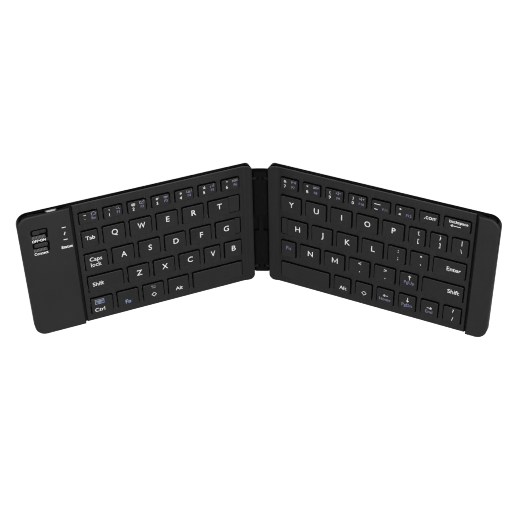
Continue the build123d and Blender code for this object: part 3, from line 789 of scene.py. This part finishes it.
# The marks of the shared nodes, in the order in which order_caps gives their caps
MARKS = {
    "number_keys_left": [
        number_key("^", "6", "back", "F6"), number_key("%", "5", "bars", "F5"),
        number_key("$", "4", "lens", "F4"), number_key("#", "3", "globe", "F3"),
        number_key("@", "2", "letter", "F2"), number_key("!", "1", "glass", "F1"),
        number_key("~", "`", "house", "Esc"),
    ],
    "number_keys_right": [
        number_key("&", "7", "play", "F7", RIGHT), number_key("*", "8", "next", "F8", RIGHT),
        number_key("(", "9", "quiet", "F9", RIGHT), number_key(")", "0", "loud", "F10", RIGHT),
        number_key("_", "-", None, "F11", RIGHT), number_key("+", "=", None, "F12", RIGHT),
        word(".com", 1.2, 1.1, 3.3),
    ],
    "modifier_keys_left": [
        word("Tab", 0.2, 1.0, 3.0),
        word("Caps", -0.2, 2.0, 3.1) + word("lock", -0.4, -2.4, 3.1),
        word("Shift", -5.2, -0.1, 3.2),
        icon(ICONS["board"], -1.5, 3.0, pale_blue_ink, 0.35, 1.75)
        + word("Ctrl", -1.8, -3.4, 3.2),
    ],
    "bottom_keys_left": [
        word("Alt", 0.2, -2.6, 3.0),
        icon(ICONS["turn"], 0.2, 3.6, lilac_ink, 0.3, 1.45) + diamond(0.2, -2.6),
        word("Fn", -0.2, -2.7, 3.2, pale_blue_ink),
    ],
    "edit_keys_right": [
        word("Backspace", 0.9, 2.4, 2.3, width=0.94) + arrow(180, -0.9, -0.9, 6.2, thick=0.45),
        pair_key("|", "\\", 4.2, -2.4),
        word("Enter", 3.0, 0.4, 3.2),
        word("Shift", 7.2, 1.0, 3.3),
    ],
    "symbol_keys_right": [
        pair_key("{", "[", 4.1, -2.3), pair_key("}", "]", 4.4, -1.6),
        pair_key(":", ";", 4.0, -1.5), pair_key("\"", "'", 3.1, -3.6),
        pair_key("<", ",", 4.0, -1.4, 0.4), pair_key(">", ".", 3.8, -1.6, 0.5),
        pair_key("?", "/", 3.6, -2.8, 0.6),
    ],
    "bottom_keys_right": [
        word("Fn", 0.2, 1.2, 3.0, blue_ink),
        arrow(90, 0.6, 2.9, 3.4) + word("PgUp", 0.5, -0.9, 2.5, blue_ink),
        word("Alt", 0.6, -2.0, 3.0),
        diamond(0.5, -1.7),
        arrow(180, 0.3, 1.1, 3.2) + word("Home", 0.0, -1.9, 2.4, blue_ink),
        arrow(-90, 0.4, 2.5, 3.4) + word("PgDn", 0.0, -1.7, 2.5, blue_ink),
        arrow(0, 0.2, 0.8, 3.2) + word("End", 0.0, -2.1, 2.5, blue_ink),
    ],
}
ONE_ROW = ("number_keys_left", "number_keys_right", "bottom_keys_left")


def order_caps(name, side, boxes):
    """The caps of a shared node row by row from the top, in each row from the hinge outwards."""
    def place_of(box):
        low, high, _ = box
        outward = side * (low[0] + high[0]) / 2
        return (0 if name in ONE_ROW else -round((low[1] + high[1]) / 2, 3), outward)
    return sorted(boxes, key=place_of)


def lay_marks(legend, marks, box, side):
    low, high, points = box
    start, end = top_span(high, points)
    face = (Vector((start, low[1], 0)), Vector((end, high[1], 0)))
    middle = ((start + end) / 2, (low[1] + high[1]) / 2)
    for shape, offset, mat in marks:
        at = (middle[0] + offset[0] * MM, middle[1] + offset[1] * MM)
        legend.add(shape, at, side, high[2], mat, face)


def side_of(node_name):
    return RIGHT if sum(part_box(node_name), Vector()).x > 0 else LEFT


group_nodes = [n for n in frame["nodes"] if "_keys_" in n]
single_nodes = [n for n in frame["nodes"] if n.startswith("key_") and "frame" not in n]
for node_name in single_nodes + group_nodes:
    side, stem = side_of(node_name), node_name.replace("key_", "")
    boxes = islands(node_name, side)
    cap_piece("cap_" + stem, node_name, boxes, side)
    if stem.startswith("space"):
        continue
    legend = Print()
    if node_name in group_nodes:
        pairs = list(zip(order_caps(node_name, side, boxes), MARKS[node_name]))
    else:
        pairs = [(boxes[0], letter(stem.upper()))]
    for box, marks in pairs:
        lay_marks(legend, marks, box, side)
    legend.piece("legend_" + stem, node_name)


# ---- words, ribs and painted shadow rings on the left panel ----

OFF_ON_LEVEL = 75.2          # middle of the words, up the half
RIB_PITCH, RIB_RISE, RIB_LIFT = 0.9, 0.3, 0.02
RIB_FOOT = 0.004             # underside of the ribs' skin, over the slope
# A ring of painted shadow round each control recess:
SHADOW_RING_OUT = (0.35, 1.9)      # past the recess, and corner radius
SHADOW_RING_IN = (-0.6, 1.4)
SHADOW_RING_LOW, SHADOW_RING_HIGH = 0.005, 0.03

panel_print = Print()
for text, outward, up, height, width in (
    ("OFF", CONTROL_FAR - 1.9, OFF_ON_LEVEL, 1.9, 0.9),
    ("ON", CONTROL_FAR - 6.7, OFF_ON_LEVEL, 1.9, 0.9),
    ("Connect", CONTROL_FAR - 4.5, 65.5, 2.0, 0.92),
    ("Status", LIGHTS - 0.3, 65.9, 2.2, 1.0),
):
    panel_print.add(text_mesh(text, height, 2 * THIN, width),
                    (-outward * MM, (up - height / 2) * MM), LEFT, PANEL * MM, white_ink)
panel_print.add(strokes([[(-0.45, 0), (0.45, 0)]], 0.5),
                (-(CONTROL_FAR - 4.4) * MM, OFF_ON_LEVEL * MM), LEFT, PANEL * MM, white_ink)
panel_print.piece("panel_words", "left_half")


def grip_ribs():
    """Fine ribs on the slope below each control, on a thin skin: light grey ribs as painted light
    on the lit slope, painted shade in the valleys.
    """
    bm = bmesh.new()
    fall = (PANEL - CONTROL_FLOOR) / CONTROL_SLOPE
    start, end = -CONTROL_FAR + 0.1, -CONTROL_NEAR - 1.5
    top = RIB_LIFT + RIB_RISE
    for base in (SWITCH_BASE, CONNECT_BASE):
        u, outline = start, []
        while u < end - 1e-6:
            step = min(RIB_PITCH, end - u)
            outline += [(u, RIB_LIFT), (u + step * 0.25, top),
                        (u + step * 0.6, top), (u + step * 0.85, RIB_LIFT)]
            u += step
        outline += [(end, RIB_LIFT), (end, RIB_FOOT), (start, RIB_FOOT)]
        rows = []
        for z in (base - CONTROL_SLOPE + 0.5, base - 0.35):
            slope = CONTROL_FLOOR + (base - z) * fall
            rows.append([bm.verts.new(HALF[LEFT] @ (Vector((x, z, slope + h)) * MM))
                         for x, h in outline])
        first, second = rows
        bm.faces.new(first)
        bm.faces.new(list(reversed(second)))
        for i in range(len(outline)):
            j = (i + 1) % len(outline)
            # the valleys take painted shade
            valley = outline[i][1] <= RIB_LIFT and outline[j][1] <= RIB_LIFT
            corners = (first[j], first[i], second[i], second[j])
            bm.faces.new(corners).material_index = int(valley)
    bmesh.ops.triangulate(bm, faces=[f for f in bm.faces if len(f.verts) > 4])
    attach(mesh_object("grip_ribs", bm, [rib_grey, gap_black], smooth=False), "left_half")


def control_bezels():
    """Painted shadow: a thin black ring with round corners over the edge of each control's recess.
    """
    bm = bmesh.new()
    for base in (SWITCH_BASE, CONNECT_BASE):
        loops = []
        for (grow, radius), lift in ((SHADOW_RING_OUT, SHADOW_RING_LOW), (SHADOW_RING_OUT, SHADOW_RING_HIGH),
                                     (SHADOW_RING_IN, SHADOW_RING_HIGH), (SHADOW_RING_IN, SHADOW_RING_LOW)):
            ring = rounded_ring((-CONTROL_FAR - grow) * MM, (-CONTROL_NEAR + grow) * MM,
                                (base - min(grow, 0)) * MM,
                                (base + CONTROL_HEIGHT + grow) * MM, radius * MM)
            level = (PANEL + lift) * MM
            loops.append([bm.verts.new(HALF[LEFT] @ Vector((u, z, level))) for u, z in ring])
        for one, two in zip(loops, loops[1:] + loops[:1]):
            join_loops(bm, one, two)
    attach(mesh_object("control_bezels", bm, [gap_black], smooth=False), "left_half")


grip_ribs()
control_bezels()


# ---- feet, screws and socket ----

# Shares of a foot's radius, and mm above its outer face; the last ring is at its top
FOOT_RINGS = ((0.30, 0.0), (0.62, 0.02), (0.84, 0.06), (0.93, 0.16),
              (0.975, 0.34), (0.985, 0.6), (1.0, 0.78))
HEAD_RADIUS, SHANK_RADIUS = 1.22, 0.56
THREAD_PITCH, THREAD_ROOT = 0.25, 0.8
CROSS_ARM, CROSS_REACH = 0.16, 0.62


def foot_piece(side):
    """Rubber feet: a low dome with a stepped edge."""
    name = "rubber_feet_" + TAIL[side]
    bm = bmesh.new()
    for low, high, _ in islands(name, side):
        r = (high[0] - low[0]) / 2
        steps = [(r * share, low[2] + rise * MM) for share, rise in FOOT_RINGS]
        loft_rings(bm, disc_rings((low + high) / 2, steps + [(r, high[2])]), HALF[side])
    stand_for(mesh_object("feet_" + TAIL[side], bm, [foot_rubber]),
              name, BODY[side])


def cross_outline():
    """The cross recess of a screw, clockwise, in mm."""
    a, r = CROSS_ARM, CROSS_REACH
    return [(r, a), (r, -a), (a, -a), (a, -r), (-a, -r), (-a, -a),
            (-r, -a), (-r, a), (-a, a), (-a, r), (a, r), (a, a)]


def screw_piece(side):
    """Screws with a round head and a cross recess, and a threaded shank."""
    name = "screws_" + TAIL[side]
    bm = bmesh.new()
    for low, high, _ in islands(name, side):
        centre = (low + high) / 2

        def inner(scale, rise):
            return [(centre.x + x * scale * MM, centre.y + y * scale * MM)
                    for x, y in cross_outline()], low.z + rise * MM

        def outer(radius, rise):
            return [(centre.x + x / math.hypot(x, y) * radius * MM,
                     centre.y + y / math.hypot(x, y) * radius * MM)
                    for x, y in cross_outline()], low.z + rise * MM

        rings = [inner(0.55, 0.34), inner(1.0, 0.03), outer(0.9, 0.0), outer(1.12, 0.05),
                 outer(HEAD_RADIUS, 0.18), outer(HEAD_RADIUS, 0.48), outer(SHANK_RADIUS, 0.49)]
        rise, length = 0.7, (high.z - low.z) / MM
        while rise < length - THREAD_PITCH:
            rings += [outer(SHANK_RADIUS, rise),
                      outer(SHANK_RADIUS * THREAD_ROOT, rise + THREAD_PITCH / 2)]
            rise += THREAD_PITCH
        rings.append(outer(SHANK_RADIUS * 0.6, length - 0.02))
        loft_rings(bm, rings, HALF[side])
    stand_for(mesh_object("screw_set_" + TAIL[side], bm, [screw_steel], smooth=False),
              name, BODY[side])


SOCKET_MIDDLE = -(CASE_END - 22.3)
SOCKET_BASE = 2.8
SOCKET_MOUTH = CASE_TOP - 0.3
SOCKET_BACK = SOCKET_MOUTH - 5.4
SOCKET_HALF, SOCKET_RISE, SOCKET_SLANT = 3.75, 2.6, 1.1
INSULATOR_HALF, INSULATOR_LOW, INSULATOR_TOP = 2.55, 0.75, 2.0


def socket_piece():
    """Charging socket: a folded metal shell around a white insulator."""
    bm = bmesh.new()

    def outline(inset):
        far, slant = SOCKET_HALF - inset, SOCKET_SLANT - inset * 0.5
        low, top = inset, SOCKET_RISE - inset
        return [(-far, low), (far, low), (far, top - slant),
                (far - slant, top), (slant - far, top), (-far, top - slant)]

    def block(inset):
        half, low, top = INSULATOR_HALF - inset, INSULATOR_LOW + inset, INSULATOR_TOP - inset
        return [(-half, low), (half, low), (half, top), (-half, top)]

    def ring(points, z):
        return [bm.verts.new(HALF[LEFT] @ (Vector((SOCKET_MIDDLE + u, z, SOCKET_BASE + h)) * MM))
                for u, h in points]

    shell = [ring(outline(0.05), SOCKET_BACK), ring(outline(0), SOCKET_BACK + 0.1),
             ring(outline(0), SOCKET_MOUTH), ring(outline(0.3), SOCKET_MOUTH),
             ring(outline(0.3), SOCKET_BACK + 0.3)]
    insulator = [ring(block(0), SOCKET_BACK + 0.32), ring(block(0), SOCKET_MOUTH - 0.3),
                 ring(block(0.1), SOCKET_MOUTH - 0.2)]
    for index, loops in enumerate((shell, insulator)):
        for first, second in zip(loops, loops[1:]):
            join_loops(bm, first, second, index)
        bm.faces.new(loops[0]).material_index = index
        bm.faces.new(loops[-1]).material_index = index
    stand_for(mesh_object("charge_socket", bm, [socket_metal, socket_white], smooth=False),
              "usb_socket", "left_half")


for side in (LEFT, RIGHT):
    foot_piece(side)
    screw_piece(side)
socket_piece()


# ---- domes under the caps, and the flex cable ----

# Radius and rise of a dome, mm
DOME_RINGS = ((2.6, 0.0), (2.6, 0.22), (2.42, 0.4), (2.2, 0.9),
              (1.85, 1.7), (1.62, 2.2), (1.42, 2.5))
FLEX_KNEE = 4.6              # the cable leaves the pin's level here, mm from the middle
FLEX_DIP = (6.4, 2.2)        # and lies at this level from here inwards
FLEX_BEND = 1.0              # half the length of the bend at the fold line
FLEX_THICKNESS = 0.2
BEND_STEPS, RUN_STEPS = 12, 4


def dome_pieces(side):
    """The domes under the caps of one key node are one piece, which rides its half."""
    node_name = "dome_sheet_" + TAIL[side]
    domes = [(low, high) for low, high, _ in islands(node_name, side)]
    for joint in frame["joints"]:
        caps = joint["child"]
        if caps not in single_nodes + group_nodes or side_of(caps) != side:
            continue
        bm = bmesh.new()
        for low, high, _ in islands(caps, side):
            for dome_low, dome_high in domes:
                middle = (dome_low + dome_high) / 2
                if low.x < middle.x < high.x and low.y < middle.y < high.y:
                    base = Vector((middle.x, middle.y, dome_low.z))
                    steps = [(r * MM, base.z + rise * MM) for r, rise in DOME_RINGS]
                    loft_rings(bm, disc_rings(middle, steps, 20), HALF[side])
        piece = mesh_object("domes_" + caps.replace("key_", ""), bm, [dome_rubber])
        stand_for(piece, node_name, BODY[side])
        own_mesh(piece)


def flex_piece(side):
    """Half of the flex cable, from inside a half to the middle of the band. It bends at the
    fold line."""
    low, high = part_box("flex_cable")
    back = HALF[side].inverted()
    points = frame["nodes"]["flex_cable"].data.vertices
    reach = max(abs((back @ v.co).x) for v in points) / MM

    def at(u, level):
        spot = HALF[side] @ (Vector((side * u, 0, level)) * MM)
        return Vector((spot.x, spot.y, 0))

    knee, dip, end = at(FLEX_KNEE, PIN_LEVEL), at(*FLEX_DIP), at(reach, FLEX_DIP[1])
    pin = Vector((PIN[side].x, PIN[side].y, 0))
    middle = Vector((0, PIN[side].y, 0))
    first = pin - (pin - knee).normalized() * FLEX_BEND * MM
    last = pin + (middle - pin).normalized() * FLEX_BEND * MM
    path = [end, (end + dip) / 2, dip, (dip + knee) / 2, knee]
    for i in range(BEND_STEPS + 1):
        t = i / BEND_STEPS
        path.append(first * (1 - t) ** 2 + pin * 2 * t * (1 - t) + last * t * t)
    path += [last + (middle - last) * i / RUN_STEPS for i in range(1, RUN_STEPS + 1)]
    bm = bmesh.new()
    loops = []
    for i, point in enumerate(path):
        along = (path[min(i + 1, len(path) - 1)] - path[max(i - 1, 0)]).normalized()
        across = Vector((-along.y, along.x, 0)) * FLEX_THICKNESS / 2 * MM
        loops.append([bm.verts.new(point + across * a + Vector((0, 0, z)))
                      for a, z in ((1, low.z), (1, high.z), (-1, high.z), (-1, low.z))])
    for one, two in zip(loops, loops[1:]):
        join_loops(bm, one, two)
    bm.faces.new(loops[0])
    bm.faces.new(loops[-1])
    piece = mesh_object("flex_" + TAIL[side], bm, [flex_film], smooth=False)
    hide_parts("flex_cable")
    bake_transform(piece)


for side in (LEFT, RIGHT):
    dome_pieces(side)
    flex_piece(side)


# ---- finer edges on CAD nodes ----

def soften(node, width):
    """Rounds a CAD node's sharp edges a little, so that they catch the light."""
    weld = node.modifiers.new("weld", "WELD")
    weld.merge_threshold = 1e-6
    bevel = node.modifiers.new("edges", "BEVEL")
    bevel.width = width
    bevel.segments = 2
    bevel.limit_method = "ANGLE"
    bevel.angle_limit = math.radians(40.0)
    bevel.use_clamp_overlap = True
    normals = node.modifiers.new("normals", "WEIGHTED_NORMAL")
    normals.keep_sharp = False
    normals.weight = 80


for node_name, width in (
    ("key_frame_left", 0.12), ("key_frame_right", 0.12), ("end_cover_left", 0.12),
    ("power_switch", 0.1), ("connect_button", 0.1),
):
    soften(frame["nodes"][node_name], width * MM)


# ---- stage, light and camera ----

def bright_floor(tree, shader):
    """White paper, lifted towards white where the camera sees it, so only soft shadow shows."""
    slow = noise(tree, place(tree), 3.0, 3.0, 0.5)
    tone = blend_colours(tree, spread(tree, slow, 0, 1), (0.90, 0.90, 0.90), (0.92, 0.92, 0.92))
    tree.links.new(tone, shader.inputs["Base Color"])
    shader.inputs["Roughness"].default_value = 0.9
    shader.inputs["Specular IOR Level"].default_value = 0.1
    path = tree.nodes.new("ShaderNodeLightPath")
    lift = tree.nodes.new("ShaderNodeMath")
    lift.operation = "MULTIPLY"
    lift.inputs[1].default_value = 0.9
    tree.links.new(path.outputs["Is Camera Ray"], lift.inputs[0])
    tree.links.new(tone, shader.inputs["Emission Color"])
    tree.links.new(lift.outputs["Value"], shader.inputs["Emission Strength"])


bm = bmesh.new()
bmesh.ops.create_grid(bm, x_segments=1, y_segments=1, size=4.0)
floor = mesh_object("floor", bm, [material("floor_white", bright_floor)], smooth=False)
floor.location = (0, 0, 0)

FIELD_BACK, FIELD_FRONT = 0.03, 0.5      # strength of the surroundings
FIELD_START, FIELD_END = 0.15, -0.95     # where it changes, in the direction's y


def studio():
    """Surroundings that light the object from the front; the camera sees plain white."""
    world = bpy.data.worlds.new("studio")
    bpy.context.scene.world = world
    world.use_nodes = True
    tree = world.node_tree
    tree.nodes.clear()
    out = tree.nodes.new("ShaderNodeOutputWorld")
    around = tree.nodes.new("ShaderNodeTexCoord")
    parts = tree.nodes.new("ShaderNodeSeparateXYZ")
    tree.links.new(around.outputs["Generated"], parts.inputs["Vector"])
    strength = spread(tree, parts.outputs["Y"], FIELD_BACK, FIELD_FRONT, FIELD_START, FIELD_END)
    strength.node.interpolation_type = "SMOOTHSTEP"
    soft = tree.nodes.new("ShaderNodeBackground")
    soft.inputs["Color"].default_value = (1, 1, 1, 1)
    tree.links.new(strength, soft.inputs["Strength"])
    seen = tree.nodes.new("ShaderNodeBackground")
    seen.inputs["Color"].default_value = (1, 1, 1, 1)
    seen.inputs["Strength"].default_value = 1.0
    path = tree.nodes.new("ShaderNodeLightPath")
    mix = tree.nodes.new("ShaderNodeMixShader")
    tree.links.new(path.outputs["Is Camera Ray"], mix.inputs[0])
    tree.links.new(soft.outputs[0], mix.inputs[1])
    tree.links.new(seen.outputs[0], mix.inputs[2])
    tree.links.new(mix.outputs[0], out.inputs["Surface"])


def area(name, at, aim, size, power):
    data = bpy.data.lights.new(name, "AREA")
    data.shape = "RECTANGLE"
    data.size, data.size_y = size
    data.energy = power
    lamp = bpy.data.objects.new(name, data)
    bpy.context.scene.collection.objects.link(lamp)
    lamp.location = at
    lamp.rotation_mode = "QUATERNION"
    lamp.rotation_quaternion = (Vector(aim) - Vector(at)).to_track_quat("-Z", "Y")


studio()
area("key_light", (0.55, -1.5, 0.55), (0, 0, 0.04), (0.9, 0.7), 13.2)
area("fill_light", (-0.8, -1.4, 0.45), (0, 0, 0.04), (0.9, 0.7), 4.5)
area("strip_light", (0.0, -0.95, 1.35), (0, 0, 0.06), (1.8, 0.12), 2)
area("rear_light", (0.0, 1.5, 0.16), (0, 0, 0.04), (1.8, 0.25), 4)

# The camera as fitted to the photograph, placed from the pins
CAMERA_FROM_PIN = Vector((0.029143, -0.616840 + 0.0000926, 0.471697))
CAMERA_YAW, CAMERA_PITCH, CAMERA_ROLL = (math.radians(a) for a in (-3.09731, 36.3225, 1.58239))
FOCAL_PIXELS, PICTURE_PIXELS, SENSOR = 1098.774, 512, 36


def aim_camera():
    level = math.cos(CAMERA_PITCH)
    forward = Vector((math.sin(CAMERA_YAW) * level, math.cos(CAMERA_YAW) * level,
                      -math.sin(CAMERA_PITCH)))
    right = forward.cross(Vector((0, 0, 1))).normalized()
    down = forward.cross(right)
    turned = right * math.cos(CAMERA_ROLL) + down * math.sin(CAMERA_ROLL)
    below = down * math.cos(CAMERA_ROLL) - right * math.sin(CAMERA_ROLL)
    data = bpy.data.cameras.new("camera")
    data.sensor_width = SENSOR
    data.lens = FOCAL_PIXELS * SENSOR / PICTURE_PIXELS
    data.clip_start, data.clip_end = 0.01, 20
    camera = bpy.data.objects.new("camera", data)
    bpy.context.scene.collection.objects.link(camera)
    turn = Matrix([[turned[i], -below[i], -forward[i]] for i in range(3)])
    spot = CAMERA_FROM_PIN + Vector((0, PIN[LEFT].y, 0))
    camera.matrix_world = Matrix.Translation(spot) @ turn.to_4x4()
    bpy.context.scene.camera = camera


aim_camera()
bpy.context.scene.view_settings.view_transform = "Standard"
bpy.context.scene.cycles.filter_width = 1.05
